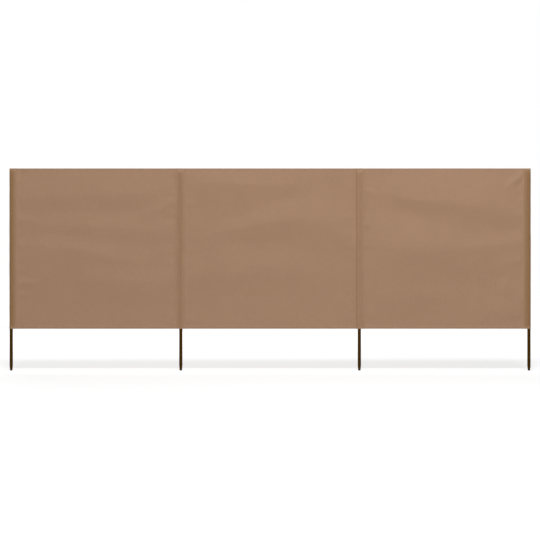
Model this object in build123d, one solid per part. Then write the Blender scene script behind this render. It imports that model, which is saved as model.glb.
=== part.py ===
from build123d import *

import math
import os

# A beach windbreak of three cloth bays on four upright steel poles, all sizes in millimetres.
# The origin is on the blunt end of the second pole from the left. +X runs along the cloth to
# the right as seen from the front, -Y points to the front and +Z up.
# The end bays turn about the two inner poles, because their pockets are free to turn there.

# Driving dimensions
OVERALL_LENGTH = 4000.0
OVERALL_HEIGHT = 1550.0
CLOTH_HEIGHT = 1230.0
MIDDLE_BAY = 1370.0
POLE_DIAMETER = 25.0
POLE_WALL = 1.0
CLOTH = 1.0
HEM_HEIGHT = 16.0

# Plastic ends of the poles
TIP_LENGTH = 36.0
TIP_END_DIAMETER = 17.0
TIP_SPIGOT = 40.0
CAP_HEAD = 3.0
CAP_SPIGOT = 20.0
SPIGOT_RIB = 2.5

# Sewn pockets that the poles stand in
END_POCKET_SEAM = 39.0
SEAM_ALLOWANCE = 8.0
INNER_POCKET_SEAM = 26.0
POCKET_CLOSING = 19.0

# Clearances
SPIGOT_CLEARANCE = 0.1
POCKET_CLEARANCE = 0.2
TURNING_GAP = 0.3

# Worked out from the above
POLE_RADIUS = POLE_DIAMETER / 2
BORE_RADIUS = POLE_RADIUS - POLE_WALL
POCKET_INNER_RADIUS = POLE_RADIUS + POCKET_CLEARANCE
POCKET_RADIUS = POCKET_INNER_RADIUS + CLOTH
END_BAY = (OVERALL_LENGTH - 2 * POCKET_RADIUS - MIDDLE_BAY) / 2
POLE_X = [-END_BAY, 0.0, MIDDLE_BAY, MIDDLE_BAY + END_BAY]
CLOTH_BOTTOM = OVERALL_HEIGHT - CLOTH_HEIGHT
TOP_HEM_BASE = OVERALL_HEIGHT - HEM_HEIGHT
POCKET_TOP_BASE = TOP_HEM_BASE - POCKET_CLOSING
TUBE_TOP = POCKET_TOP_BASE - CAP_HEAD
DOUBLE_CLOTH = 2 * CLOTH

UPRIGHT = (Align.CENTER, Align.CENTER, Align.MIN)
FROM_LEFT = (Align.MIN, Align.CENTER, Align.MIN)


def at_pole(x, solid):
    """The solid, made about the Z axis, moved to the pole at x."""
    return Pos(x, 0, 0) * solid


def save(name, solid):
    """Write one piece to its own file."""
    export_step(solid, f"parts/{name}.step")


def pole_tube():
    """The steel tube, from the shoulder of its tip to the underside of its cap."""
    length = TUBE_TOP - TIP_LENGTH
    outside = Cylinder(POLE_RADIUS, length, align=UPRIGHT)
    bore = Cylinder(BORE_RADIUS, length, align=UPRIGHT)
    return Pos(0, 0, TIP_LENGTH) * (outside - bore)


def ribbed_spigot(length):
    """Two crossed ribs that are driven into the bore of the tube, standing up by their length."""
    rib = Rectangle(2 * BORE_RADIUS, SPIGOT_RIB)
    cross = (rib + Rot(0, 0, 90) * rib) & Circle(BORE_RADIUS - SPIGOT_CLEARANCE)
    return extrude(cross, length)


def pole_tip():
    """The tapered ground end, with a spigot up into the tube."""
    taper = Cone(TIP_END_DIAMETER / 2, POLE_RADIUS, TIP_LENGTH, align=UPRIGHT)
    return taper + Pos(0, 0, TIP_LENGTH) * ribbed_spigot(TIP_SPIGOT)


def pole_cap():
    """The plug in the top of the tube, whose round head carries the closed end of the pocket."""
    head = Cylinder(POLE_RADIUS, CAP_HEAD, align=UPRIGHT)
    spigot = Pos(0, 0, -CAP_SPIGOT) * ribbed_spigot(CAP_SPIGOT)
    return Pos(0, 0, TUBE_TOP) * (head + spigot)


def teardrop(radius):
    """The outline of cloth pulled round a pole of this radius and brought together at the seam."""
    half_angle = math.asin(POCKET_INNER_RADIUS / END_POCKET_SEAM)
    point = radius / math.sin(half_angle)
    touch_x = radius * math.sin(half_angle)
    touch_y = radius * math.cos(half_angle)
    flanks = Polygon((point, 0), (touch_x, touch_y), (touch_x, -touch_y), align=None)
    return Circle(radius) + flanks


def end_pocket_outline():
    """The outside of an end pocket, with the seam allowance that is sewn to the cloth."""
    allowance = Rectangle(SEAM_ALLOWANCE, DOUBLE_CLOTH, align=(Align.MIN, Align.CENTER))
    return teardrop(POCKET_RADIUS) + Pos(END_POCKET_SEAM, 0) * allowance


def facing(side, solid):
    """The solid, made with its seam towards +X, turned so that the seam is on the given side."""
    return solid if side > 0 else Rot(0, 0, 180) * solid


def end_pocket(side):
    """The cloth loop round an end pole, open below, with its seam on the given side."""
    profile = end_pocket_outline() - teardrop(POCKET_INNER_RADIUS)
    loop = extrude(profile, POCKET_TOP_BASE - CLOTH_BOTTOM)
    return facing(side, Pos(0, 0, CLOTH_BOTTOM) * loop)


def drawn_in(outline, side):
    """The outline raised, as deep as its side allows, a profile of (depth, height), and mirrored."""
    other_side = [(-depth, height) for depth, height in reversed(side)]
    section = Plane.YZ * Polygon(*side, *other_side, align=None)
    length = END_POCKET_SEAM + SEAM_ALLOWANCE
    return extrude(outline, POCKET_CLOSING + HEM_HEIGHT) & extrude(section, length, both=True)


def closed_over(outline, inner_outline):
    """A pocket's cloth above its pole, brought together up to the hem and sewn flat within it."""
    outer_side = [(POCKET_RADIUS, 0), (CLOTH, POCKET_CLOSING), (CLOTH, POCKET_CLOSING + HEM_HEIGHT)]
    inner_side = [(POCKET_INNER_RADIUS, 0), (POCKET_CLEARANCE / 2, POCKET_CLOSING)]
    closed = drawn_in(outline, outer_side) - drawn_in(inner_outline, inner_side)
    return Pos(0, 0, POCKET_TOP_BASE) * closed


def end_pocket_top(side):
    """The cloth that closes an end pocket over the cap of its pole."""
    return facing(side, closed_over(end_pocket_outline(), teardrop(POCKET_INNER_RADIUS)))


def inner_pocket():
    """The cloth sleeve round an inner pole, open below."""
    height = POCKET_TOP_BASE - CLOTH_BOTTOM
    outside = Cylinder(POCKET_RADIUS, height, align=UPRIGHT)
    inside = Cylinder(POCKET_INNER_RADIUS, height, align=UPRIGHT)
    return Pos(0, 0, CLOTH_BOTTOM) * (outside - inside)


def inner_pocket_top():
    """The cloth that closes an inner pocket over the cap of its pole."""
    return closed_over(Circle(POCKET_RADIUS), Circle(POCKET_INNER_RADIUS))


def seam_strip(side, gap):
    """The doubled cloth from an inner pocket's sleeve, or a gap off it, out to the pocket's seam."""
    strip = Box(INNER_POCKET_SEAM, DOUBLE_CLOTH, CLOTH_HEIGHT, align=FROM_LEFT)
    sleeve = Cylinder(POCKET_RADIUS + gap, CLOTH_HEIGHT, align=UPRIGHT)
    return facing(side, Pos(0, 0, CLOTH_BOTTOM) * (strip - sleeve))


def panel(left, right, bottom, height, thickness):
    """A flat piece of cloth in the plane of the poles."""
    return Pos(left, 0, bottom) * Box(right - left, thickness, height, align=FROM_LEFT)


def make_bay(name, left, right):
    """One bay's cloth and the two hems that border it, between its pockets."""
    between_hems = CLOTH_HEIGHT - 2 * HEM_HEIGHT
    save(f"{name}_cloth", panel(left, right, CLOTH_BOTTOM + HEM_HEIGHT, between_hems, CLOTH))
    save(f"{name}_top_hem", panel(left, right, TOP_HEM_BASE, HEM_HEIGHT, DOUBLE_CLOTH))
    save(f"{name}_bottom_hem", panel(left, right, CLOTH_BOTTOM, HEM_HEIGHT, DOUBLE_CLOTH))


os.makedirs("parts", exist_ok=True)

for number, x in enumerate(POLE_X, start=1):
    save(f"pole_{number}", at_pole(x, pole_tube()))
    save(f"pole_tip_{number}", at_pole(x, pole_tip()))
    save(f"pole_cap_{number}", at_pole(x, pole_cap()))

for number, side in ((1, 1), (4, -1)):
    x = POLE_X[number - 1]
    save(f"pocket_{number}", at_pole(x, end_pocket(side)))
    save(f"pocket_top_{number}", at_pole(x, end_pocket_top(side)))

for number, left_gap, right_gap in ((2, TURNING_GAP, 0.0), (3, 0.0, TURNING_GAP)):
    x = POLE_X[number - 1]
    save(f"pocket_{number}", at_pole(x, inner_pocket()))
    save(f"pocket_top_{number}", at_pole(x, inner_pocket_top()))
    save(f"pocket_{number}_left_seam", at_pole(x, seam_strip(-1, left_gap)))
    save(f"pocket_{number}_right_seam", at_pole(x, seam_strip(1, right_gap)))

end_cloth_edge = END_POCKET_SEAM + SEAM_ALLOWANCE
make_bay("left", POLE_X[0] + end_cloth_edge, POLE_X[1] - INNER_POCKET_SEAM)
make_bay("middle", POLE_X[1] + INNER_POCKET_SEAM, POLE_X[2] - INNER_POCKET_SEAM)
make_bay("right", POLE_X[2] + INNER_POCKET_SEAM, POLE_X[3] - end_cloth_edge)
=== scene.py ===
import math
from collections import namedtuple

import bmesh
import bpy
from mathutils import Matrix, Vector, noise


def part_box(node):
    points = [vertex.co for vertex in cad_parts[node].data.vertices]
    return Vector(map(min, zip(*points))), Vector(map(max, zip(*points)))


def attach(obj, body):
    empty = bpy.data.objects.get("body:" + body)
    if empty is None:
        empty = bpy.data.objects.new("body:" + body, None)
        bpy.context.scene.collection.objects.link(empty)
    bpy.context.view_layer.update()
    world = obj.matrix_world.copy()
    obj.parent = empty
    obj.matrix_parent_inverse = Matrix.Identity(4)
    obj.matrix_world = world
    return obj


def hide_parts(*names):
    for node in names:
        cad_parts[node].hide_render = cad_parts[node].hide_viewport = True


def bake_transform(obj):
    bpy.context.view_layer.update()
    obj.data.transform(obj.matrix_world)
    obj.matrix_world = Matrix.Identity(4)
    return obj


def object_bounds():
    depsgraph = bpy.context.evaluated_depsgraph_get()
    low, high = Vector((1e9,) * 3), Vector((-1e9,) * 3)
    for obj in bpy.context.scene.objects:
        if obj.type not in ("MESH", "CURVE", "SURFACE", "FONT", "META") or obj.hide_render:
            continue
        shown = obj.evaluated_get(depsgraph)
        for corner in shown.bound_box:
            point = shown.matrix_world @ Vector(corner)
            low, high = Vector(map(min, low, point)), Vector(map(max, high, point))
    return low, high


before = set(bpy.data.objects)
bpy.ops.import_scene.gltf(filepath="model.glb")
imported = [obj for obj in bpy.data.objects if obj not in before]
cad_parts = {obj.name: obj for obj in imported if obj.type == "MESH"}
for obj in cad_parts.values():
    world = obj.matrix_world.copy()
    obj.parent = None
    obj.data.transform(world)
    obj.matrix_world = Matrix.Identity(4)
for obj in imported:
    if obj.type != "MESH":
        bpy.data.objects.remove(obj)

# A beach windbreak: three bays of taupe cloth on four dark brown poles, in metres.
# The cloth stands in the XZ plane, the front faces -Y, and the first pole is the left one.

CAD_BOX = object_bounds()


def middle_x(node):
    """The middle of a node's box along X."""
    low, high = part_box(node)
    return (low[0] + high[0]) / 2


POLE_X = [middle_x(f"pole_{number}") for number in (1, 2, 3, 4)]
POLE_RADIUS = (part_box("pole_1")[1][0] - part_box("pole_1")[0][0]) / 2
POLE_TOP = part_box("pole_cap_1")[1][2]
CLOTH_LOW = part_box("left_bottom_hem")[0][2]
CLOTH_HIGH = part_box("left_top_hem")[1][2]
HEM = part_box("left_bottom_hem")[1][2] - CLOTH_LOW
INNER_SEAM = POLE_X[1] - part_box("pocket_2_left_seam")[0][0]
END_SEAM_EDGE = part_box("pocket_1")[1][0] - POLE_X[0]

# Cloth
THICKNESS = 0.0005
YARN = 0.0008
GRID = 0.008
SEAM_ALLOWANCE = 0.003
TUCKED_IN = 0.002
SEAM_FADE = 0.03

# How far each pole's seams are from its axis, to its left and to its right. An end pocket's solid
# reaches past its seam by its own allowance.
SOLID_ALLOWANCE = 0.008
END_SEAM = END_SEAM_EDGE - SOLID_ALLOWANCE
SEAMS = {
    1: (END_SEAM, END_SEAM),
    2: (INNER_SEAM + 0.002, INNER_SEAM + 0.002),
    3: (INNER_SEAM - 0.002, INNER_SEAM + 0.003),
    4: (END_SEAM, END_SEAM),
}

# Hems. HEM_STITCH, HEM_STEPS and HEM_CLEAR are measured from the folded edge: the stitches, the
# rows of points across the hem and the first even row beyond it.
HEM_STITCH = HEM - 0.003
HEM_STEPS = (0.0, 0.0001, 0.0004, 0.0009, 0.0016, 0.003, 0.006, 0.0095, 0.0115, HEM_STITCH, HEM)
HEM_CLEAR = HEM + 0.006
HEM_ROLL = 0.0012
HEM_CURL = 0.0018
HEM_PROUD = 0.0012
HEM_PROUD_FADE = 0.009
HEM_PRESSED = 0.0003
PRESSED_WIDTH = 0.004
PRESSED_FADE = 0.012

# Stitches, each of its full width as far as THREAD_FULL of its length from its middle
STITCH_PITCH = 0.0033
STITCH_LENGTH = 0.0027
STITCH_RADIUS = 0.00027
THREAD_FULL = 0.32
SEAM_ROW_START = 0.003
SEAM_ROW_SPARE = 0.004
HEM_ROW_START = 0.006


def smooth(t):
    """0 below 0, 1 above 1 and a smooth rise between."""
    t = min(max(t, 0.0), 1.0)
    return t * t * (3 - 2 * t)


def soft_max(a, b, softness):
    """The larger of two numbers, rounded where they are about equal."""
    return (a + b + math.sqrt((a - b) ** 2 + softness ** 2)) / 2


# Folds in the cloth

# A fold runs along X from x0 to x1. crest is the height of its crest above the ground, above and
# below are how far it reaches to each side of the crest, and proud is how far the crest stands
# out. Each of these four is a row of values at even steps from x0 to x1.
Fold = namedtuple("Fold", "x0 x1 crest above below proud")

FOLD_CREST = 0.16
FOLD_FOOT = 0.22
FOLD_RUNOUT = 0.05
HEM_FREEDOM = 0.5
HEM_FREE_FROM = 0.10
CLOTH_SETBACK = 0.005

# Ripples: their height, how many there are in a metre of X and of Z, and where their noise is read
RIPPLES = ((0.0012, 2.1, 5.3, 3.7), (0.00035, 7.0, 15.0, 11.3))

# Gathers beside a seam: how far they reach, their height, and how their noise is read from the
# seam's place, the height and the distance to the seam
GATHER_REACH = 0.16
GATHER_HEIGHT = 0.003
GATHER_WAVES = (9.0, 19.0, 4.0)

# Puckers along a hem, whose waves come at an uneven distance
PUCKER_HEIGHT = 0.00035
PUCKER_REACH = 0.035
PUCKER_WAVE = 165
PUCKER_DRIFT = 23
PUCKER_UNEVEN = 3

LEFT_X, RIGHT_X = POLE_X[0], POLE_X[3]
SECOND_X, THIRD_X = POLE_X[1], POLE_X[2]

LEFT_FOLDS = (
    Fold(LEFT_X + 0.03, SECOND_X - 0.02, (1.33, 1.34, 1.36, 1.37), (0.18, 0.20, 0.20, 0.16),
         (0.10, 0.12, 0.12, 0.10), (0.003, 0.009, 0.010, 0.003)),
    Fold(LEFT_X + 0.03, SECOND_X - 0.02, (1.12, 1.11, 1.09, 1.07), (0.09, 0.10, 0.11, 0.09),
         (0.08, 0.10, 0.11, 0.10), (0.002, 0.005, 0.007, 0.002)),
    Fold(LEFT_X + 0.02, SECOND_X - 0.03, (0.95, 0.93, 0.85, 0.80), (0.10, 0.09, 0.12, 0.10),
         (0.34, 0.28, 0.12, 0.08), (0.004, 0.011, 0.008, 0.001)),
    Fold(LEFT_X + 0.40, SECOND_X - 0.04, (0.70, 0.69, 0.68, 0.67), (0.10, 0.10, 0.10, 0.08),
         (0.20, 0.26, 0.26, 0.18), (0.0, 0.009, 0.011, 0.003)),
    Fold(LEFT_X + 0.02, SECOND_X - 0.02, (0.33, 0.33, 0.33), (0.12, 0.13, 0.13),
         (0.05, 0.05, 0.05), (0.002, 0.007, 0.005)),
    Fold(SECOND_X - 0.40, SECOND_X - 0.02, (1.18, 1.22, 1.29), (0.06, 0.06, 0.05),
         (0.05, 0.06, 0.05), (0.0, 0.004, 0.003)),
    Fold(LEFT_X + 0.04, LEFT_X + 0.26, (0.67, 0.672, 0.675), (0.03, 0.03, 0.03),
         (0.04, 0.04, 0.03), (0.004, 0.004, 0.0)),
    Fold(LEFT_X + 0.04, LEFT_X + 0.20, (1.15, 1.155, 1.16), (0.03, 0.03, 0.02),
         (0.03, 0.03, 0.02), (0.004, 0.003, 0.0)),
)
MIDDLE_FOLDS = (
    Fold(SECOND_X + 0.03, SECOND_X + 1.10, (1.43, 1.43, 1.42, 1.42, 1.42),
         (0.11, 0.11, 0.11, 0.11, 0.11), (0.15, 0.19, 0.16, 0.09, 0.05),
         (0.004, 0.011, 0.011, 0.006, 0.0)),
    Fold(SECOND_X + 0.12, THIRD_X - 0.02, (1.04, 1.085, 1.14, 1.155, 1.00),
         (0.06, 0.09, 0.14, 0.20, 0.28), (0.06, 0.10, 0.14, 0.20, 0.14),
         (0.0, 0.009, 0.015, 0.014, 0.006)),
    Fold(SECOND_X + 0.05, THIRD_X - 0.05, (0.76, 0.75, 0.74, 0.72), (0.14, 0.15, 0.14, 0.12),
         (0.14, 0.15, 0.16, 0.12), (0.001, 0.009, 0.007, 0.001)),
    Fold(SECOND_X + 0.02, THIRD_X - 0.02, (0.33, 0.33, 0.33), (0.16, 0.18, 0.16),
         (0.05, 0.05, 0.05), (0.002, 0.006, 0.002)),
    Fold(SECOND_X + 0.45, SECOND_X + 0.85, (0.81, 0.80, 0.80), (0.05, 0.10, 0.05),
         (0.04, 0.05, 0.04), (0.0, 0.004, 0.0)),
)
RIGHT_FOLDS = (
    Fold(THIRD_X + 0.10, RIGHT_X - 0.03, (1.38, 1.32, 1.285, 1.265, 1.19),
         (0.15, 0.22, 0.27, 0.26, 0.16), (0.07, 0.11, 0.15, 0.20, 0.10),
         (0.0, 0.017, 0.024, 0.024, 0.006)),
    Fold(THIRD_X + 0.03, RIGHT_X - 0.03, (0.95, 0.935, 0.93, 0.95, 0.985),
         (0.19, 0.24, 0.24, 0.14, 0.07), (0.26, 0.24, 0.22, 0.26, 0.16),
         (0.004, 0.022, 0.025, 0.018, 0.006)),
    Fold(THIRD_X + 0.05, THIRD_X + 0.80, (0.58, 0.58, 0.60), (0.22, 0.22, 0.20),
         (0.14, 0.14, 0.12), (0.001, 0.009, 0.0)),
    Fold(THIRD_X + 0.80, RIGHT_X - 0.03, (0.44, 0.45, 0.46), (0.24, 0.24, 0.20),
         (0.11, 0.11, 0.11), (0.0, 0.007, 0.006)),
    Fold(RIGHT_X - 0.26, RIGHT_X - 0.035, (0.81, 0.82, 0.83), (0.06, 0.07, 0.07),
         (0.10, 0.12, 0.12), (0.0, 0.006, 0.005)),
    Fold(RIGHT_X - 0.26, RIGHT_X - 0.10, (0.64, 0.65, 0.65), (0.06, 0.07, 0.06),
         (0.10, 0.12, 0.10), (0.0, 0.006, 0.0)),
    Fold(RIGHT_X - 0.20, RIGHT_X - 0.03, (1.40, 1.45, 1.51), (0.03, 0.05, 0.04),
         (0.03, 0.05, 0.05), (0.0, 0.009, 0.010)),
    Fold(THIRD_X + 0.02, THIRD_X + 0.16, (1.39, 1.365, 1.345), (0.03, 0.03, 0.03),
         (0.03, 0.03, 0.02), (0.005, 0.004, 0.0)),
    Fold(THIRD_X + 0.02, THIRD_X + 0.12, (1.12, 1.115, 1.11), (0.03, 0.03, 0.03),
         (0.03, 0.03, 0.02), (0.004, 0.003, 0.0)),
)


def along(values, t):
    """The smooth curve through evenly spaced values, at t from 0 to 1."""
    last = len(values) - 1
    place = min(max(t, 0.0), 1.0) * last
    i = min(int(place), last - 1)
    a, b, c, d = (values[min(max(k, 0), last)] for k in (i - 1, i, i + 1, i + 2))
    u = place - i
    curve = (a - 2.5 * b + 2 * c - d / 2) * u ** 2 + (1.5 * (b - c) + (d - a) / 2) * u ** 3
    return b + (c - a) / 2 * u + curve


def fold_height(fold, x, z):
    """How far one fold stands proud of the cloth at (x, z)."""
    t = (x - fold.x0) / (fold.x1 - fold.x0)
    if not -FOLD_RUNOUT <= t <= 1 + FOLD_RUNOUT:
        return 0.0
    away = z - along(fold.crest, t)
    reach = along(fold.above if away > 0 else fold.below, t)
    share = 1 + FOLD_CREST - math.hypot(away / reach, FOLD_CREST)
    return along(fold.proud, t) * soft_max(share, 0.0, FOLD_FOOT)


def ripple(x, z):
    """Small uneven ripples, longer along the cloth than up it."""
    return sum(height * noise.noise(Vector((x * in_x, seed, z * in_z)))
               for height, in_x, in_z, seed in RIPPLES)


Bay = namedtuple("Bay", "name body left right folds poles nodes")


def gathers(bay, x, z):
    """Short creases that run into the cloth from its two seams, uneven in size and place."""
    by_seam, by_height, by_distance = GATHER_WAVES
    total = 0.0
    for seam, inward in ((bay.left, x - bay.left), (bay.right, bay.right - x)):
        if inward < GATHER_REACH:
            wave = noise.noise(Vector((seam * by_seam, z * by_height, inward * by_distance)))
            total += GATHER_HEIGHT * wave * (1 - smooth(inward / GATHER_REACH))
    return total


def pucker(x, to_hem):
    """Small waves along a hem, where its stitches draw the cloth in."""
    wave = math.sin(x * PUCKER_WAVE + PUCKER_UNEVEN * math.sin(x * PUCKER_DRIFT))
    return PUCKER_HEIGHT * wave * math.exp(-((to_hem / PUCKER_REACH) ** 2))


def relief(bay, x, z):
    """How far the front of a bay's cloth stands proud of the flat at (x, z)."""
    to_seam = min(x - bay.left, bay.right - x)
    held_side = smooth((to_seam - TUCKED_IN) / SEAM_FADE)
    to_hem = min(z - CLOTH_LOW, CLOTH_HIGH - z)
    held_hem = HEM_FREEDOM + (1 - HEM_FREEDOM) * smooth(to_hem / HEM_FREE_FROM)
    folds = sum(fold_height(fold, x, z) for fold in bay.folds)
    loose = ripple(x, z) + gathers(bay, x, z)
    from_bottom = z - CLOTH_LOW
    bottom_hem = HEM_PROUD * (1 - smooth((from_bottom - HEM_STITCH) / HEM_PROUD_FADE))
    bottom_hem -= HEM_CURL * (1 - smooth(from_bottom / HEM))
    return held_side * (folds + held_hem * loose + pucker(x, to_hem) + bottom_hem - CLOTH_SETBACK)


# Meshes of cloth

WELD_DISTANCE = 0.00002
TINY_EDGE = 0.00001
FINE_EDGE = 0.06


def cloth_mesh(name, rows, uv_rows, pole_shade_rows=None):
    """A skin of cloth on a grid of points, with its flat coordinates in a UV map."""
    made = bmesh.new()
    uv_layer = made.loops.layers.uv.new("flat")
    # The share of painted shade at each point, from a pole behind the cloth and a seam beside it
    pole_shade_layer = made.verts.layers.float.new("painted_pole_shade")
    columns = len(rows[0])
    grid = []
    for r, row in enumerate(rows):
        line = []
        for c, point in enumerate(row):
            vert = made.verts.new(point)
            vert[pole_shade_layer] = pole_shade_rows[r][c] if pole_shade_rows else 0.0
            line.append(vert)
        grid.append(line)
    for r in range(len(rows) - 1):
        for c in range(columns - 1):
            corners = ((r, c), (r, c + 1), (r + 1, c + 1), (r + 1, c))
            face = made.faces.new([grid[i][j] for i, j in corners])
            face.smooth = True
            for loop, (i, j) in zip(face.loops, corners):
                loop[uv_layer].uv = uv_rows[i][j]
    bmesh.ops.remove_doubles(made, verts=made.verts, dist=WELD_DISTANCE)
    bmesh.ops.dissolve_degenerate(made, edges=made.edges, dist=TINY_EDGE)
    # Where only a front and a back face meet, a corner would fold flat when thickened
    corners = [vert for vert in made.verts if len(vert.link_edges) == len(vert.link_faces) == 2]
    bmesh.ops.dissolve_verts(made, verts=corners)
    mesh = bpy.data.meshes.new(name)
    made.to_mesh(mesh)
    made.free()
    return mesh


def add_object(name, mesh, material):
    """A new object with this mesh and material."""
    made = bpy.data.objects.new(name, mesh)
    bpy.context.scene.collection.objects.link(made)
    made.data.materials.append(material)
    return made


def thicken(piece):
    """Gives a skin the cloth's thickness, half to each side, for good."""
    solid = piece.modifiers.new("thickness", "SOLIDIFY")
    solid.thickness = THICKNESS
    solid.offset = 0.0
    solid.use_quality_normals = True
    bpy.context.view_layer.update()
    seen = piece.evaluated_get(bpy.context.evaluated_depsgraph_get())
    mesh = bpy.data.meshes.new_from_object(seen)
    piece.modifiers.clear()
    piece.data = mesh


def spaced(start, end, step):
    """Numbers from start to end, about a step apart."""
    count = max(1, round((end - start) / step))
    return [start + (end - start) * i / count for i in range(count + 1)]


def hem_opening(from_fold, pressed):
    """Half the distance between a hem's two layers, this far from its folded edge."""
    if from_fold <= 0.0:
        return 0.0
    roll = HEM_ROLL * (1 - pressed) + HEM_PRESSED * pressed
    round_part = min(from_fold / HEM_ROLL, 1.0)
    rounded = math.sqrt(1 - (1 - round_part) ** 2)
    closing = smooth((from_fold - HEM_ROLL) / (HEM_STITCH - HEM_ROLL))
    return rounded * (roll + (HEM_PRESSED - roll) * closing)


def hem_profile():
    """Along the cloth between its cut edges: (height, layer), with layer 1 behind the hem."""
    path = [(CLOTH_LOW + step, 1) for step in reversed(HEM_STEPS[1:])]
    path += [(CLOTH_LOW + step, -1) for step in HEM_STEPS]
    path += [(z, 0) for z in spaced(CLOTH_LOW + HEM_CLEAR, CLOTH_HIGH - HEM_CLEAR, GRID)]
    path += [(CLOTH_HIGH - step, -1) for step in reversed(HEM_STEPS)]
    path += [(CLOTH_HIGH - step, 1) for step in HEM_STEPS[1:]]
    return path


def bay_columns(bay):
    """Where a bay's cloth is sampled along X, finer beside the pockets."""
    xs = spaced(bay.left, bay.left + FINE_EDGE, GRID / 2)
    xs += spaced(bay.left + FINE_EDGE, bay.right - FINE_EDGE, GRID)[1:-1]
    return xs + spaced(bay.right - FINE_EDGE, bay.right, GRID / 2)


def hem_place(bay, x, z, layer):
    """A point of a bay's cloth, in front of or behind the middle of its hem."""
    to_edge = min(x - bay.left, bay.right - x)
    pressed = 1 - smooth((to_edge - PRESSED_WIDTH) / PRESSED_FADE)
    from_fold = min(z - CLOTH_LOW, CLOTH_HIGH - z)
    return Vector((x, -relief(bay, x, z) + layer * hem_opening(from_fold, pressed), z))


def make_bay_cloth(bay, material):
    """One bay's cloth, with its top and bottom edges folded to the back as hems."""
    xs = bay_columns(bay)
    rows = []
    uv_rows = []
    run = 0.0
    before = None
    for z, layer in hem_profile():
        row = [hem_place(bay, x, z, layer) for x in xs]
        middle = row[len(row) // 2]
        if before is not None:
            run += (middle - before).length
        before = middle
        rows.append(row)
        uv_rows.append([(x - LEFT_X, run) for x in xs])
    piece = add_object(f"{bay.name}_bay_cloth", cloth_mesh(bay.name, rows, uv_rows), material)
    thicken(piece)
    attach(piece, bay.body)
    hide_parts(*bay.nodes)
    return piece, run


# Pockets round the poles

# From a pole's axis to the middle of the cloth round it, from the middle of a pocket to the cloth
# of its sewn strip, and from the middle of a hem's front layer to that of the one behind it
POLE_GAP = 0.0003
POCKET_RADIUS = POLE_RADIUS + POLE_GAP + THICKNESS / 2
STRIP_OFF = THICKNESS + 0.00035
LAYERS_APART = THICKNESS + 0.00005

# The heights between which a pocket is drawn in above its pole, and how sharply its depth turns
# inwards there, as the power of a rounded corner
CLOSING_FROM = POLE_TOP + 0.002
POCKET_FLAT = CLOTH_HIGH - HEM_STITCH
CLOSING_POWER = 12

# The outline of a pocket: steps on its arcs and its flank, how softly the flank meets the strip
# beyond the seam, and how far that strip's edge curls off
ARC_STEPS = 12
TOUCH_STEPS = 5
FLANK_STEPS = 10
STRIP_STEPS = (0.25, 0.5, 0.75, 1.0)
FLANK_SOFTNESS = 0.0012
STRIP_CURL = 0.0003

# The rows up a pocket: even ones to SLEEVE_END, and close ones from CLOSING_START to the hem
SLEEVE_END = POLE_TOP - 0.009
CLOSING_START = POLE_TOP - 0.004
CLOSING_END = CLOTH_HIGH - HEM - 0.001
CLOSING_STEP = 0.002

# A pocket's hem: how much deeper its doubled cloth makes it, and the groove along its stitches
SWELL_DEPTH = 0.0006
SWELL_FADE = 0.003
GROOVE_DEPTH = 0.00025
GROOVE_WIDTH = 0.0018

# A pocket's slack: where on the flank it starts, how deep it is at least and in its waves and
# crimps, how many of those there are in a metre, and where their noise is read
SLACK_START = 0.007
SLACK_FADE = 0.006
SLACK_TOP_FADE = 0.03
SLACK_LEAST = 0.0005
SLACK_WAVE = 0.0010
SLACK_CRIMP = 0.0004
WAVES_PER_METRE = 9.0
CRIMPS_PER_METRE = 34.0
POLE_SEED = 10.0
WAVE_SEED = 5
CRIMP_SEED = 2
CRIMP_PLACE = 4.1

# A place on the outline of a pocket's front, from its pole's axis: how far it is towards the seam,
# how far it is in front, and the direction in which the cloth faces there.
Place = namedtuple("Place", "across depth out_x out_y")

# How strongly painted shade darkens each pocket, to the pole's left and to its right, at even
# steps from its axis out to the distance of that side's seam: the pole's shadow through the thin
# cloth, shade in the seam's valley and shade on the pocket's flanks
SHADES = {
    1: ((1.0, 1.0), (1.0, 0.97, 0.72, 0.50, 0.35, 0.05)),
    2: ((0.45, 0.28, 0.05, 0.0, 0.0, 0.0), (0.45, 0.35, 0.20, 0.05, 0.0, 0.0)),
    3: ((0.30, 0.0, 0.0, 0.0, 0.15, 0.50), (0.30, 0.15, 0.0, 0.0, 0.0, 0.0)),
    4: ((1.0, 0.97, 0.75, 0.56, 0.48, 0.20), (1.0, 1.0)),
}

# Where that painted shade ends below the top hem, and its share in the doubled cloth of the bottom
# hem
SHADE_END = 0.002
SHADE_END_FADE = 0.006
SHADE_IN_HEM = 0.4
SHADE_HEM_FADE = 0.004


def seam_beside(pole, across):
    """How far a pole's seam is from its axis, on the side that across points to."""
    return SEAMS[pole][across > 0]


def flank(across, seam):
    """Half the depth of a pocket, this far from the pole's axis towards its seam."""
    touch = POCKET_RADIUS ** 2 / seam
    if across < touch:
        return math.sqrt(max(POCKET_RADIUS ** 2 - across ** 2, 0.0))
    slope = math.tan(math.asin(POCKET_RADIUS / seam))
    return soft_max((seam - across) * slope, STRIP_OFF, FLANK_SOFTNESS)


def outer_arc():
    """The far side of an end pole, from its outermost line to beside its axis."""
    angles = [math.pi / 2 * i / ARC_STEPS for i in range(ARC_STEPS)]
    return [(-POCKET_RADIUS * math.cos(angle), POCKET_RADIUS * math.sin(angle)) for angle in angles]


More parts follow.
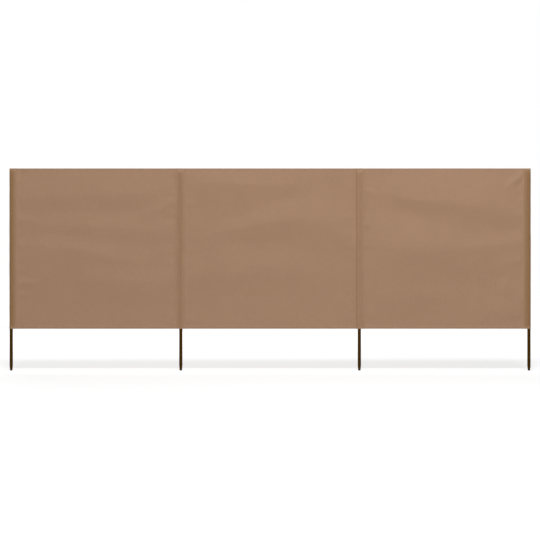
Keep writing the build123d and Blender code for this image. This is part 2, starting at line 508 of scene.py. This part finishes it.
def pocket_outline(seam, start):
    """The front of a pocket from where its outline starts to the edge of its seam allowance."""
    touch = POCKET_RADIUS ** 2 / seam
    turns = [step / TOUCH_STEPS * math.pi / 2 for step in range(TOUCH_STEPS + 1)]
    places = [touch * math.sin(turn) for turn in turns]
    places += [touch + (seam - touch) * step / FLANK_STEPS for step in range(1, FLANK_STEPS + 1)]
    points = start + [(place, flank(place, seam)) for place in places]
    for step in STRIP_STEPS:
        curled = STRIP_CURL * smooth(2 * step - 1)
        points.append((seam + SEAM_ALLOWANCE * step, STRIP_OFF + curled))
    outline = []
    for i, (across, depth) in enumerate(points):
        before, after = points[max(i - 1, 0)], points[min(i + 1, len(points) - 1)]
        run = math.dist(before, after)
        out_x, out_y = (before[1] - after[1]) / run, (after[0] - before[0]) / run
        if depth == 0.0:
            out_x, out_y = -1.0, 0.0
        if across >= seam or across == 0.0:
            out_x, out_y = 0.0, 1.0
        outline.append(Place(across, depth, out_x, out_y))
    return outline


def mirrored(place):
    """The place on the other side of the pole."""
    return Place(-place.across, place.depth, -place.out_x, place.out_y)


def hem_swell(z):
    """The extra depth of a pocket at its hems, where its cloth is doubled."""
    beyond_stitch = min(z - CLOTH_LOW, CLOTH_HIGH - z) - HEM_STITCH
    band = 1 - smooth(beyond_stitch / SWELL_FADE)
    groove = math.exp(-((beyond_stitch / GROOVE_WIDTH) ** 2))
    return SWELL_DEPTH * band - GROOVE_DEPTH * groove


def slack(across, z, pole):
    """How far the loose flank of a pocket stands off a tight one."""
    seam = seam_beside(pole, across)
    out = abs(across)
    on_flank = smooth((out - SLACK_START) / SLACK_FADE) * smooth((seam - out) / SLACK_FADE)
    seed = POLE_SEED * pole
    side = 1.0 if across > 0 else -1.0
    wave = noise.noise(Vector((seed + WAVE_SEED * side, across / seam, z * WAVES_PER_METRE)))
    crimp = noise.noise(Vector((seed + CRIMP_SEED * side, CRIMP_PLACE, z * CRIMPS_PER_METRE)))
    drawn = smooth((POCKET_FLAT - z) / SLACK_TOP_FADE)
    return drawn * on_flank * (SLACK_LEAST + SLACK_WAVE * wave + SLACK_CRIMP * crimp)


def drawn_in(depth, z):
    """The depth of a pocket at a height, drawn in above its pole until it is flat at the hem."""
    open_depth = depth - STRIP_OFF
    room = (POCKET_RADIUS - STRIP_OFF) * (POCKET_FLAT - z) / (POCKET_FLAT - CLOSING_FROM)
    if min(open_depth, room) <= 0.0:
        return min(depth, STRIP_OFF)
    rounded = open_depth ** -CLOSING_POWER + room ** -CLOSING_POWER
    return STRIP_OFF + rounded ** (-1 / CLOSING_POWER)


def pocket_place(place, z, pole, inward=0.0):
    """Across and depth of a point of a pocket's front, or of a layer this far inward of it."""
    off = hem_swell(z) + slack(place.across, z, pole)
    depth = drawn_in(place.depth + off * place.out_y, z) - inward * place.out_y
    if place.depth == 0.0:
        depth = 0.0
    return place.across + (off - inward) * place.out_x, depth


def pocket_path():
    """Up a pocket's front, from its bottom hem's cut edge: (height, layer, how far it is open)."""
    hem_rows = HEM_STEPS[2:]
    path = [(CLOTH_LOW + step, 1, 1.0) for step in reversed(hem_rows)]
    path += [(CLOTH_LOW, 0.5, 1.0)]
    path += [(CLOTH_LOW + step, 0, 1.0) for step in hem_rows]
    path += [(z, 0, 1.0) for z in spaced(CLOTH_LOW + HEM_CLEAR, SLEEVE_END, GRID)]
    path += [(z, 0, 1.0) for z in spaced(CLOSING_START, CLOSING_END, CLOSING_STEP)]
    for step in reversed(HEM_STEPS):
        opened = min(step / HEM_ROLL, 1.0)
        path.append((CLOTH_HIGH - step, 0, math.sqrt(1 - (1 - opened) ** 2)))
    return path


def painted_pole_shade(place, z, pole):
    """How much painted shade darkens a pole's pocket at this place and height."""
    out = abs(place.across) / seam_beside(pole, place.across)
    if out > 1.0:
        return 0.0
    shade = along(SHADES[pole][place.across > 0], out)
    below_hem = 1 - smooth((z - POCKET_FLAT + SHADE_END) / SHADE_END_FADE)
    above_hem = smooth((z - CLOTH_LOW - HEM) / SHADE_HEM_FADE)
    return shade * below_hem * (SHADE_IN_HEM + (1 - SHADE_IN_HEM) * above_hem)


def make_pocket(name, pole, outline, material):
    """A pocket, closed over the top of its pole: front, top and back as one piece of cloth."""
    pole_x = POLE_X[pole - 1]
    front = pocket_path()
    columns = []
    uv_columns = []
    pole_shade_columns = []
    run = 0.0
    before = None
    for place in outline:
        if before is not None:
            run += math.dist(before[:2], place[:2])
        before = place
        path = []
        for z, layer, opened in front:
            x, depth = pocket_place(place, z, pole, layer * LAYERS_APART)
            path.append((x, depth * opened, z))
        whole = path + [(x, -depth, z) for x, depth, z in reversed(path[:-1])]
        columns.append([Vector((pole_x + x, -depth, z)) for x, depth, z in whole])
        lengths = [0.0]
        for one, two in zip(whole, whole[1:]):
            lengths.append(lengths[-1] + math.dist(one, two))
        uv_columns.append([(run, value) for value in lengths])
        pole_shade_columns.append([painted_pole_shade(place, z, pole) for _, _, z in whole])
    mesh = cloth_mesh(name, columns, uv_columns, pole_shade_columns)
    piece = add_object(name, mesh, material)
    thicken(piece)
    return piece, run, lengths[-1]


# Rows of stitches

def stitch_mesh(name, dashes):
    """A dash of thread for each (middle, direction, outward) given, as one mesh."""
    made = bmesh.new()
    for middle, direction, outward in dashes:
        side = direction.cross(outward).normalized()
        half = direction * (STITCH_LENGTH / 2)
        tips = [made.verts.new(middle - half), made.verts.new(middle + half)]
        rings = []
        for share in (-THREAD_FULL, THREAD_FULL):
            centre = middle + direction * (STITCH_LENGTH * share)
            offsets = (side, outward, -side, -outward)
            rings.append([made.verts.new(centre + offset * STITCH_RADIUS) for offset in offsets])
        for i in range(4):
            j = (i + 1) % 4
            made.faces.new((tips[0], rings[0][j], rings[0][i]))
            made.faces.new((rings[0][i], rings[0][j], rings[1][j], rings[1][i]))
            made.faces.new((rings[1][i], rings[1][j], tips[1]))
    for face in made.faces:
        face.smooth = True
    bmesh.ops.recalc_face_normals(made, faces=made.faces)
    mesh = bpy.data.meshes.new(name)
    made.to_mesh(mesh)
    made.free()
    return mesh


def upright_row(x, outward):
    """Stitches up a seam at x, on the side of the cloth that outward points to."""
    count = int((CLOTH_HIGH - CLOTH_LOW - SEAM_ROW_SPARE) / STITCH_PITCH)
    dashes = []
    for i in range(count):
        z = CLOTH_LOW + SEAM_ROW_START + i * STITCH_PITCH
        place = Vector((x, outward * (STRIP_OFF + hem_swell(z) + THICKNESS / 2), z))
        dashes.append((place, Vector((0, 0, 1)), Vector((0, outward, 0))))
    return dashes


def hem_row(bay, z, outward):
    """Stitches along one hem of a bay, on the side that outward points to."""
    xs = spaced(bay.left + HEM_ROW_START, bay.right - HEM_ROW_START, STITCH_PITCH)
    dashes = []
    for here, there in zip(xs, xs[1:]):
        ends = [hem_place(bay, x, z, outward) for x in (here, there)]
        off = Vector((0, outward * THICKNESS / 2, 0))
        middle = (ends[0] + ends[1]) / 2 + off
        dashes.append((middle, (ends[1] - ends[0]).normalized(), Vector((0, outward, 0))))
    return dashes


def round_row(pole, outline, z, outward):
    """Stitches along one hem of a pocket, on the side that outward points to."""
    points = []
    for place in outline:
        x, depth = pocket_place(place, z, pole, -THICKNESS / 2)
        points.append(Vector((POLE_X[pole - 1] + x, outward * depth, z)))
    dashes = []
    wanted = STITCH_PITCH / 2
    run = 0.0
    for here, there in zip(points, points[1:]):
        step = there - here
        while wanted < run + step.length:
            direction = step.normalized()
            facing = Vector((-direction.y, direction.x, 0.0))
            if facing.y * outward < 0:
                facing = -facing
            dashes.append((here + direction * (wanted - run), direction, facing))
            wanted += STITCH_PITCH
        run += step.length
    return dashes


# Materials

def srgb(red, green, blue):
    """A colour given as 0 to 255 on screen, in the linear values that shaders take."""
    def linear(value):
        value /= 255
        return value / 12.92 if value <= 0.04045 else ((value + 0.055) / 1.055) ** 2.4
    return (linear(red), linear(green), linear(blue), 1.0)


CLOTH_DARK = srgb(129, 98, 72)
CLOTH_COLOUR = srgb(157, 122, 93)
CLOTH_LIGHT = srgb(181, 145, 115)
# The cloth in full painted shade, where a pole behind it and a seam beside it shade a pocket
CLOTH_IN_POLE_SHADE = srgb(131, 95, 56)
THREAD_LIGHT = srgb(180, 148, 121)
POLE_DARK = srgb(59, 36, 0)
POLE_COLOUR = srgb(67, 43, 0)
POLE_SCUFF = srgb(96, 74, 46)
PLASTIC_COLOUR = srgb(58, 36, 0)
PLASTIC_DUSTY = srgb(74, 52, 14)
# The tips' plastic in painted shade at their ground end
PLASTIC_SHADED = srgb(30, 13, 0)

# Where the cloth is between CLOTH_DARK at 0 and CLOTH_LIGHT at 1, and how far its weave, the
# unevenness of its yarns, broad and small mottling and its slubs each move it from there
CLOTH_SHADE = 0.35
WEAVE_SHADE = 0.26
WARP_SHADE = 0.30
WEFT_SHADE = 0.34
BROAD_SHADE = 0.12
SMALL_SHADE = 0.08
SLUB_SHADE = -0.30

# How often a yarn changes along its length, and slubs come along the cloth and up it, in a metre
YARN_CHANGES = 25.0
SLUBS_ALONG = 50.0
SLUBS_UP = 380.0

# The poles' heights between which scuffs fade out, and the share of POLE_SCUFF in the worst
SCUFFS_FULL = 0.05
SCUFFS_END = 0.30
SCUFF_SHARE = 0.15

# The heights over which painted shade fades out up the tips, and the shine of the dark parts
TIP_SHADE_FULL = 0.002
TIP_SHADE_END = 0.018
DULL_SHINE = 0.06


def set_inputs(tree, node, inputs):
    """Links a node's inputs to the outputs given for them, and sets the others to their values."""
    for key, value in inputs.items():
        if isinstance(value, bpy.types.NodeSocket):
            tree.links.new(value, node.inputs[key])
        else:
            node.inputs[key].default_value = value


def add_node(tree, kind, inputs=None, **settings):
    """A node with its settings, and its inputs set or linked."""
    made = tree.nodes.new(kind)
    for key, value in settings.items():
        setattr(made, key, value)
    set_inputs(tree, made, inputs or {})
    return made


def empty_material(name):
    """A material with only a Principled shader and its output."""
    material = bpy.data.materials.new(name)
    material.use_nodes = True
    tree = material.node_tree
    tree.nodes.clear()
    shader = add_node(tree, "ShaderNodeBsdfPrincipled")
    add_node(tree, "ShaderNodeOutputMaterial", {"Surface": shader.outputs["BSDF"]})
    return material, tree, shader


def maths(tree, operation, first, second=0.0):
    """A Math node's output."""
    return add_node(tree, "ShaderNodeMath", {0: first, 1: second}, operation=operation).outputs[0]


def mapped(tree, value, start, end, first=0.0, last=1.0):
    """A Map Range node's output: first where the value is at its start, last at its end."""
    inputs = {0: value, 1: start, 2: end, 3: first, 4: last}
    return add_node(tree, "ShaderNodeMapRange", inputs).outputs[0]


def mixed(tree, share, first, second):
    """The first colour, with this share of the second one."""
    inputs = {0: share, 6: first, 7: second}
    return add_node(tree, "ShaderNodeMix", inputs, data_type="RGBA").outputs[2]


def ramp(tree, value, stops):
    """A colour ramp's output, from stops of (place, colour)."""
    made = add_node(tree, "ShaderNodeValToRGB", {"Fac": value})
    elements = made.color_ramp.elements
    elements[0].position, elements[0].color = stops[0]
    elements[1].position, elements[1].color = stops[-1]
    for place, colour in stops[1:-1]:
        elements.new(place).color = colour
    return made.outputs["Color"]


def uneven(tree, vector, scale, detail=2.0):
    """A Noise texture's value."""
    inputs = {"Vector": vector, "Scale": scale, "Detail": detail, "Roughness": 0.55}
    return add_node(tree, "ShaderNodeTexNoise", inputs).outputs["Fac"]


def stretched(tree, vector, x, y):
    """The vector with its first two parts scaled."""
    inputs = {0: vector, 1: (x, y, 1.0)}
    return add_node(tree, "ShaderNodeVectorMath", inputs, operation="MULTIPLY").outputs[0]


def yarn_round(tree, across):
    """The round of parallel yarns, one to each unit across them."""
    angle = maths(tree, "MULTIPLY", across, math.pi)
    return maths(tree, "ABSOLUTE", maths(tree, "SINE", angle))


def bump(tree, strength, distance, height):
    """A Bump node's output, for a surface raised by this height, of which 1 is the distance."""
    inputs = {"Strength": strength, "Distance": distance, "Height": height}
    return add_node(tree, "ShaderNodeBump", inputs).outputs["Normal"]


def woven_cloth():
    """Taupe plain-weave polyester: crossing, uneven yarns with slubs, on faint broad mottling."""
    material, tree, shader = empty_material("woven_cloth")
    flat = add_node(tree, "ShaderNodeUVMap", uv_map="flat").outputs["UV"]
    yarns = stretched(tree, flat, 1 / YARN, 1 / YARN)
    counted = add_node(tree, "ShaderNodeSeparateXYZ", {"Vector": yarns})
    warp = yarn_round(tree, counted.outputs["X"])
    weft = yarn_round(tree, counted.outputs["Y"])
    over = add_node(tree, "ShaderNodeTexChecker", {"Vector": yarns, "Scale": 1.0}).outputs["Fac"]
    weave = add_node(tree, "ShaderNodeMix", {"Factor": over, 2: warp, 3: weft}).outputs[0]
    warp_yarn = uneven(tree, stretched(tree, flat, 1 / YARN, YARN_CHANGES), scale=0.6)
    weft_yarn = uneven(tree, stretched(tree, flat, YARN_CHANGES, 1 / YARN), scale=0.6)
    broad = uneven(tree, flat, scale=5.0, detail=3.0)
    small = uneven(tree, flat, scale=38.0, detail=3.0)
    parts = ((warp_yarn, WARP_SHADE), (weft_yarn, WEFT_SHADE), (broad, BROAD_SHADE),
             (small, SMALL_SHADE))
    shade = maths(tree, "MULTIPLY", weave, WEAVE_SHADE)
    for source, weight in parts:
        centred = maths(tree, "SUBTRACT", source, 0.5)
        shade = maths(tree, "ADD", shade, maths(tree, "MULTIPLY", centred, weight))
    thick = uneven(tree, stretched(tree, flat, SLUBS_ALONG, SLUBS_UP), scale=1.0, detail=1.0)
    slub = mapped(tree, thick, start=0.72, end=0.80, last=SLUB_SHADE)
    shade = maths(tree, "ADD", maths(tree, "ADD", shade, slub), CLOTH_SHADE)
    colour = ramp(tree, shade, ((0.0, CLOTH_DARK), (0.5, CLOTH_COLOUR), (1.0, CLOTH_LIGHT)))
    # Painted shade on the pockets, from a pole behind the cloth and a seam beside it
    pole_shade = add_node(tree, "ShaderNodeAttribute", attribute_name="painted_pole_shade").outputs["Fac"]
    height = maths(tree, "ADD", weave, maths(tree, "MULTIPLY", weft_yarn, 0.5))
    set_inputs(tree, shader, {
        "Base Color": mixed(tree, pole_shade, colour, CLOTH_IN_POLE_SHADE),
        "Normal": bump(tree, strength=0.45, distance=0.00025, height=height),
        "Roughness": 0.65,
        "Specular IOR Level": 0.5,
        "Sheen Weight": 0.08,
        "Sheen Roughness": 0.5,
    })
    return material


def sewing_thread():
    """Polyester thread a little lighter than the cloth, with a fine twist."""
    material, tree, shader = empty_material("sewing_thread")
    place = add_node(tree, "ShaderNodeTexCoord").outputs["Object"]
    twist = uneven(tree, place, scale=900.0)
    set_inputs(tree, shader, {
        "Base Color": ramp(tree, twist, ((0.2, CLOTH_COLOUR), (0.8, THREAD_LIGHT))),
        "Normal": bump(tree, strength=0.3, distance=0.0001, height=twist),
        "Roughness": 0.6,
    })
    return material


def powder_coat():
    """Dark brown powder coating with a fine orange peel, scuffed near the ground end."""
    material, tree, shader = empty_material("powder_coat")
    place = add_node(tree, "ShaderNodeTexCoord").outputs["Object"]
    peel = uneven(tree, place, scale=700.0)
    shade = uneven(tree, place, scale=14.0, detail=4.0)
    base = ramp(tree, shade, ((0.3, POLE_DARK), (0.7, POLE_COLOUR)))
    height = add_node(tree, "ShaderNodeSeparateXYZ", {"Vector": place}).outputs["Z"]
    near_ground = mapped(tree, height, SCUFFS_FULL, SCUFFS_END, first=1.0, last=0.0)
    scratch = uneven(tree, stretched(tree, place, 900.0, 900.0), scale=1.0, detail=4.0)
    scuffed = mapped(tree, scratch, start=0.62, end=0.70)
    worn = maths(tree, "MULTIPLY", maths(tree, "MULTIPLY", scuffed, near_ground), SCUFF_SHARE)
    set_inputs(tree, shader, {
        "Base Color": mixed(tree, worn, base, POLE_SCUFF),
        "Normal": bump(tree, strength=0.2, distance=0.0002, height=peel),
        "Roughness": mapped(tree, shade, start=0.0, end=1.0, first=0.5, last=0.62),
        "Specular IOR Level": DULL_SHINE,
    })
    return material


def moulded_plastic():
    """Dark brown moulded plastic with a fine grain, some dust and painted shade at the ground end.
    """
    material, tree, shader = empty_material("moulded_plastic")
    place = add_node(tree, "ShaderNodeTexCoord").outputs["Object"]
    grain = uneven(tree, place, scale=1800.0)
    dust = uneven(tree, place, scale=60.0, detail=4.0)
    dusty = ramp(tree, dust, ((0.35, PLASTIC_COLOUR), (0.75, PLASTIC_DUSTY)))
    height = add_node(tree, "ShaderNodeSeparateXYZ", {"Vector": place}).outputs["Z"]
    # Painted shade, darker towards the ground end of each tip
    tip_shade = mapped(tree, height, TIP_SHADE_FULL, TIP_SHADE_END, first=1.0, last=0.0)
    set_inputs(tree, shader, {
        "Base Color": mixed(tree, tip_shade, dusty, PLASTIC_SHADED),
        "Normal": bump(tree, strength=0.25, distance=0.0002, height=grain),
        "Roughness": mapped(tree, dust, start=0.0, end=1.0, first=0.5, last=0.7),
        "Specular IOR Level": DULL_SHINE,
    })
    return material


cloth = woven_cloth()
thread = sewing_thread()


# The windbreak

def bay_nodes(name):
    """The solids that a bay's cloth stands for."""
    return [f"{name}_cloth", f"{name}_top_hem", f"{name}_bottom_hem"]


def bay_between(name, pole, folds):
    """The bay from a pole to the next one, whose cloth is tucked under the pockets' seams."""
    left = POLE_X[pole - 1] + SEAMS[pole][1] - TUCKED_IN
    right = POLE_X[pole] - SEAMS[pole + 1][0] + TUCKED_IN
    poles = [f"pole_{pole}", f"pole_{pole + 1}"]
    return Bay(name, f"{name}_bay", left, right, folds, poles, bay_nodes(name))


BAYS = (
    bay_between("left", 1, LEFT_FOLDS),
    bay_between("middle", 2, MIDDLE_FOLDS),
    bay_between("right", 3, RIGHT_FOLDS),
)

for bay in BAYS:
    piece, cut_length = make_bay_cloth(bay, cloth)
    dashes = []
    for z in (CLOTH_LOW + HEM_STITCH, CLOTH_HIGH - HEM_STITCH):
        for outward in (-1, 1):
            dashes += hem_row(bay, z, outward)
    stitches = add_object(f"{bay.name}_hem_stitches", stitch_mesh(bay.name, dashes), thread)
    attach(stitches, bay.body)


def add_seam_stitches(name, x, body):
    """The stitches up one seam of a pocket, front and back."""
    dashes = upright_row(x, -1) + upright_row(x, 1)
    stitches = add_object(name, stitch_mesh(name, dashes), thread)
    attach(stitches, body)
    return stitches


def add_hem_stitches(name, pole, outline):
    """The stitches along the two hems of a pocket, front and back."""
    dashes = []
    for z in (CLOTH_LOW + HEM_STITCH, CLOTH_HIGH - HEM_STITCH):
        for outward in (-1, 1):
            dashes += round_row(pole, outline, z, outward)
    stitches = add_object(name, stitch_mesh(name, dashes), thread)
    return stitches


def make_end_pocket(name, pole, side, body):
    """The pocket round an end pole, with its seam on the given side of it."""
    outline = pocket_outline(END_SEAM, outer_arc())
    if side < 0:
        outline = [mirrored(place) for place in outline]
    piece, width, length = make_pocket(name, pole, outline, cloth)
    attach(piece, body)
    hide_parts(f"pocket_{pole}", f"pocket_top_{pole}")
    stitched_at = POLE_X[pole - 1] + side * (END_SEAM + SEAM_ALLOWANCE / 2)
    upright = add_seam_stitches(f"{name}_stitches", stitched_at, body)
    level = add_hem_stitches(f"{name}_hem_stitches", pole, outline)
    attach(level, body)


def make_inner_pocket(name, pole, left_body, right_body):
    """The pocket round an inner pole, between the two bays that meet there."""
    x = POLE_X[pole - 1]
    left_seam, right_seam = SEAMS[pole]
    left_half, right_half = pocket_outline(left_seam, []), pocket_outline(right_seam, [])
    outline = [mirrored(place) for place in reversed(left_half[1:])] + right_half
    piece, width, length = make_pocket(name, pole, outline, cloth)
    level = add_hem_stitches(f"{name}_hem_stitches", pole, outline)
    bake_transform(piece)
    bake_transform(level)
    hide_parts(f"pocket_{pole}", f"pocket_top_{pole}", f"pocket_{pole}_left_seam",
                f"pocket_{pole}_right_seam")
    left_at = x - left_seam - SEAM_ALLOWANCE / 2
    left = add_seam_stitches(f"{name}_left_stitches", left_at, left_body)
    right_at = x + right_seam + SEAM_ALLOWANCE / 2
    right = add_seam_stitches(f"{name}_right_stitches", right_at, right_body)


make_end_pocket("left_end_pocket", 1, 1, "left_bay")
make_end_pocket("right_end_pocket", 4, -1, "right_bay")
make_inner_pocket("second_pole_pocket", 2, "left_bay", "middle_bay")
make_inner_pocket("third_pole_pocket", 3, "middle_bay", "right_bay")

coat = powder_coat()
plastic = moulded_plastic()


def dress(node, material):
    """Gives a carried-over solid its material."""
    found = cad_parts[node]
    found.data.materials.clear()
    found.data.materials.append(material)


for number in (1, 2, 3, 4):
    dress(f"pole_{number}", coat)
    dress(f"pole_tip_{number}", plastic)
    dress(f"pole_cap_{number}", plastic)


# Floor, light and camera

# The frame, and where the cloth's sides and the ground are in it, in pixels
FRAME_PIXELS = 540
CLOTH_LEFT_PIXEL = 9.46
CLOTH_RIGHT_PIXEL = 530.7
GROUND_PIXEL = 370.43
LENS = 120.0
SENSOR = 36.0
FARTHEST_SEEN = 200.0

# The floor is paler for the light on it than as it is seen. The lamps light it up to about
# FLOOR_LIT from its middle and hardly past FLOOR_UNLIT, so its own glow makes up the difference.
FLOOR_SIZE = 40.0
FLOOR_PALE = 0.65
FLOOR_SEEN = 0.45
FLOOR_LIT = 3.0
FLOOR_UNLIT = 14.0
GLOW_NEAR = 0.65
GLOW_FAR = 0.92
SKY = 0.21
WHITE = (1.0, 1.0, 1.0, 1.0)


def seen_directly(tree, strength):
    """The strength for camera, mirror and see-through rays, and 0 for all others."""
    path = add_node(tree, "ShaderNodeLightPath")
    total = path.outputs["Is Camera Ray"]
    for kind in ("Is Glossy Ray", "Is Transmission Ray"):
        total = maths(tree, "MAXIMUM", total, path.outputs[kind])
    return maths(tree, "MULTIPLY", total, strength)


def make_floor():
    """A pale floor that looks white where no shadow falls."""
    made = bmesh.new()
    bmesh.ops.create_grid(made, x_segments=1, y_segments=1, size=FLOOR_SIZE)
    mesh = bpy.data.meshes.new("floor")
    made.to_mesh(mesh)
    made.free()
    material, tree, shader = empty_material("floor")
    seen = seen_directly(tree, 1.0)
    place = add_node(tree, "ShaderNodeTexCoord").outputs["Object"]
    off = add_node(tree, "ShaderNodeVectorMath", {0: place}, operation="LENGTH").outputs["Value"]
    glow = mapped(tree, off, FLOOR_LIT, FLOOR_UNLIT, first=GLOW_NEAR, last=GLOW_FAR)
    set_inputs(tree, shader, {
        "Base Color": mapped(tree, seen, start=0.0, end=1.0, first=FLOOR_PALE, last=FLOOR_SEEN),
        "Roughness": 1.0,
        "Specular IOR Level": 0.0,
        "Emission Color": WHITE,
        "Emission Strength": seen_directly(tree, glow),
    })
    add_object("floor", mesh, material)


def make_world():
    """Even pale light from all round, and a white background."""
    world = bpy.data.worlds.new("studio")
    bpy.context.scene.world = world
    world.use_nodes = True
    tree = world.node_tree
    tree.nodes.clear()
    strength = maths(tree, "ADD", seen_directly(tree, 1.0 - SKY), SKY)
    light = add_node(tree, "ShaderNodeBackground", {"Strength": strength, "Color": WHITE})
    add_node(tree, "ShaderNodeOutputWorld", {"Surface": light.outputs["Background"]})


def add_light(name, place, target, width, height, power):
    """A soft rectangular light at place, aimed at target."""
    data = bpy.data.lights.new(name, "AREA")
    data.shape = "RECTANGLE"
    data.size = width
    data.size_y = height
    data.energy = power
    lamp = bpy.data.objects.new(name, data)
    lamp.location = place
    lamp.rotation_euler = (Vector(target) - Vector(place)).to_track_quat("-Z", "Y").to_euler()
    bpy.context.scene.collection.objects.link(lamp)


def make_camera():
    """Straight in front of the cloth, with a long lens, framed as the photograph is."""
    left, right = CAD_BOX[0][0], CAD_BOX[1][0]
    pixel = (right - left) / (CLOTH_RIGHT_PIXEL - CLOTH_LEFT_PIXEL)
    x = left + (FRAME_PIXELS / 2 - CLOTH_LEFT_PIXEL) * pixel
    z = (GROUND_PIXEL - FRAME_PIXELS / 2) * pixel
    data = bpy.data.cameras.new("camera")
    data.lens = LENS
    data.sensor_width = SENSOR
    data.clip_end = FARTHEST_SEEN
    camera = bpy.data.objects.new("camera", data)
    camera.location = (x, -FRAME_PIXELS * pixel * LENS / SENSOR, z)
    camera.rotation_euler = (math.pi / 2, 0.0, 0.0)
    bpy.context.scene.collection.objects.link(camera)
    bpy.context.scene.camera = camera


make_floor()
make_world()
add_light("key", place=(0.9, -11.0, 11.5), target=(4.5, 0.0, 2.6),
          width=3.5, height=3.5, power=1545.0)
add_light("fill", place=(3.0, -7.5, 1.8), target=(0.7, 0.0, 0.9),
          width=4.0, height=3.0, power=60.0)
add_light("back", place=(-1.5, 8.0, 5.0), target=(0.7, 0.0, 0.9),
          width=5.0, height=4.0, power=350.0)
make_camera()
bpy.context.scene.view_settings.view_transform = "Standard"
